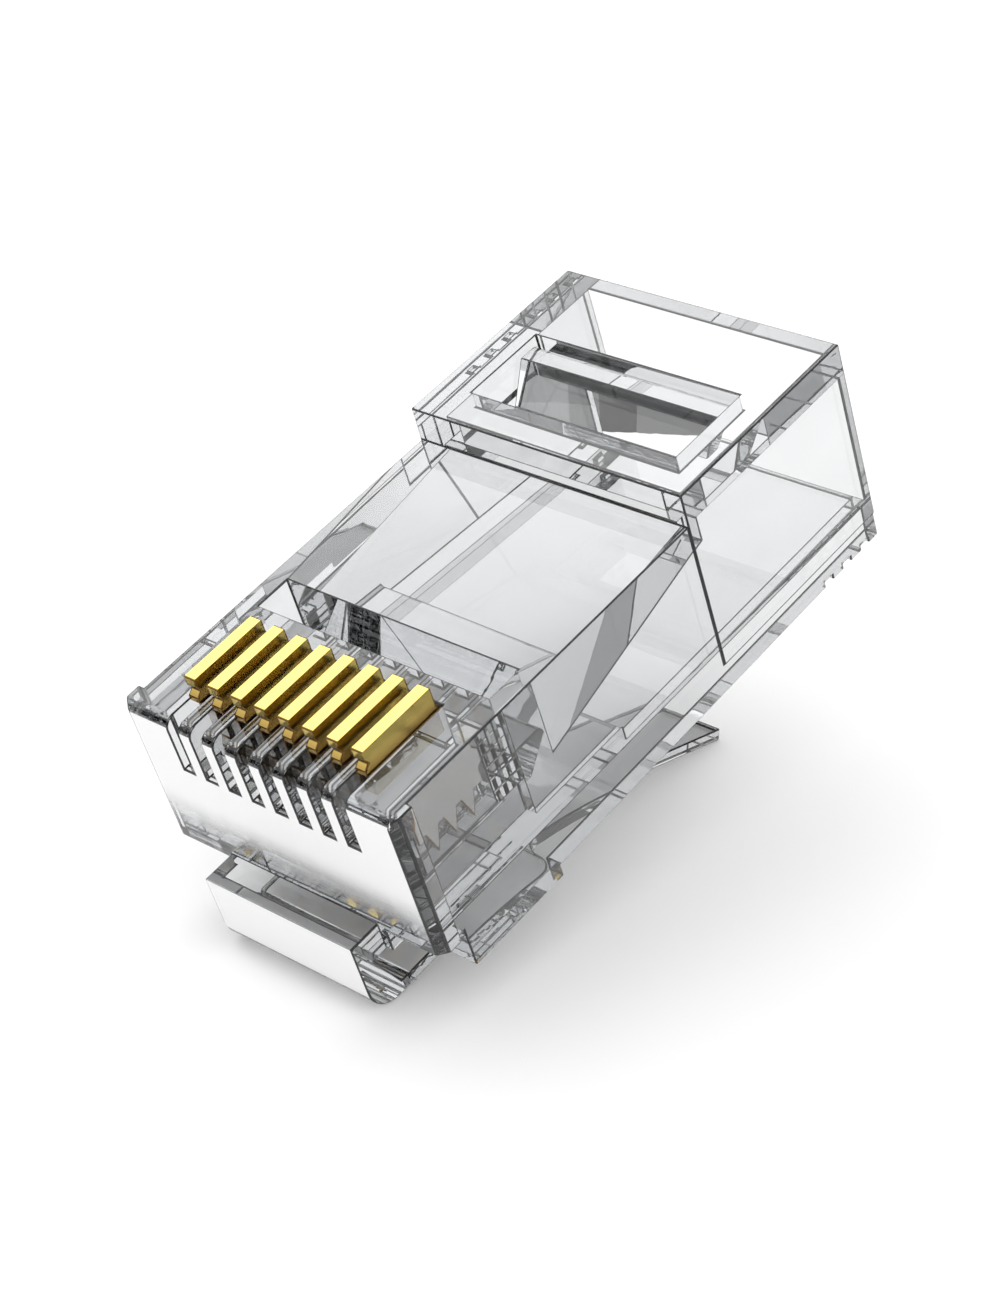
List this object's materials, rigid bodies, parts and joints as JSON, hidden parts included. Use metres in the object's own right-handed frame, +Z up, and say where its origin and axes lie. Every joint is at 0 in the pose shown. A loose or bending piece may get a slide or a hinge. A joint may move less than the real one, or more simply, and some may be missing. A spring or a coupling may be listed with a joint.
{
  "type": "rj45 modular plug",
  "caption": "Clear plastic modular plug for network cable, with gold blade contacts, a sprung latch lever underneath and a cable entry at the rear; lies on its latch.",
  "frame": {"origin": "on the floor under the middle of the plug's box, as the plug lies at rest on its hook and its latch", "axes": "+X across the plug to the right seen from the nose, +Y back towards the cable end, +Z up; the plug itself is turned about X so that its cable end stands higher"},
  "size_m": [0.0116, 0.023, 0.015],
  "materials": {
    "clear_plastic": "clear, polished polycarbonate",
    "gold": "polished gold plating"
  },
  "bodies": {
    "housing": {"housing": "clear_plastic"},
    "latch": {"latch": "clear_plastic"},
    "conductor_clamp": {"conductor_clamp": "clear_plastic"},
    "jacket_clamp": {"jacket_clamp": "clear_plastic"},
    "contact_1": {"contact_1": "gold"},
    "contact_2": {"contact_2": "gold"},
    "contact_3": {"contact_3": "gold"},
    "contact_4": {"contact_4": "gold"},
    "contact_5": {"contact_5": "gold"},
    "contact_6": {"contact_6": "gold"},
    "contact_7": {"contact_7": "gold"},
    "contact_8": {"contact_8": "gold"}
  },
  "joints": [
    {"name": "latch_press", "type": "hinge", "parent": "housing", "child": "latch", "pos_m": [0, -0.00891, 0.00043], "axis": [1, 0, 0], "range_deg": [0, 18], "stiffness_Nm_per_rad": 0.29},
    {"name": "conductor_clamp_press", "type": "slide", "parent": "housing", "child": "conductor_clamp", "axis": [0, 0.2546, -0.9671], "range_m": [0, 0.0007]},
    {"name": "jacket_clamp_fold", "type": "hinge", "parent": "housing", "child": "jacket_clamp", "pos_m": [0, 0.00597, 0.01334], "axis": [1, 0, 0], "range_deg": [0, 30]},
    {"name": "contact_1_crimp", "type": "slide", "parent": "housing", "child": "contact_1", "axis": [0, 0.2546, -0.9671], "range_m": [0, 0.0012]},
    {"name": "contact_2_crimp", "type": "slide", "parent": "housing", "child": "contact_2", "axis": [0, 0.2546, -0.9671], "range_m": [0, 0.0012]},
    {"name": "contact_3_crimp", "type": "slide", "parent": "housing", "child": "contact_3", "axis": [0, 0.2546, -0.9671], "range_m": [0, 0.0012]},
    {"name": "contact_4_crimp", "type": "slide", "parent": "housing", "child": "contact_4", "axis": [0, 0.2546, -0.9671], "range_m": [0, 0.0012]},
    {"name": "contact_5_crimp", "type": "slide", "parent": "housing", "child": "contact_5", "axis": [0, 0.2546, -0.9671], "range_m": [0, 0.0012]},
    {"name": "contact_6_crimp", "type": "slide", "parent": "housing", "child": "contact_6", "axis": [0, 0.2546, -0.9671], "range_m": [0, 0.0012]},
    {"name": "contact_7_crimp", "type": "slide", "parent": "housing", "child": "contact_7", "axis": [0, 0.2546, -0.9671], "range_m": [0, 0.0012]},
    {"name": "contact_8_crimp", "type": "slide", "parent": "housing", "child": "contact_8", "axis": [0, 0.2546, -0.9671], "range_m": [0, 0.0012]}
  ]
}
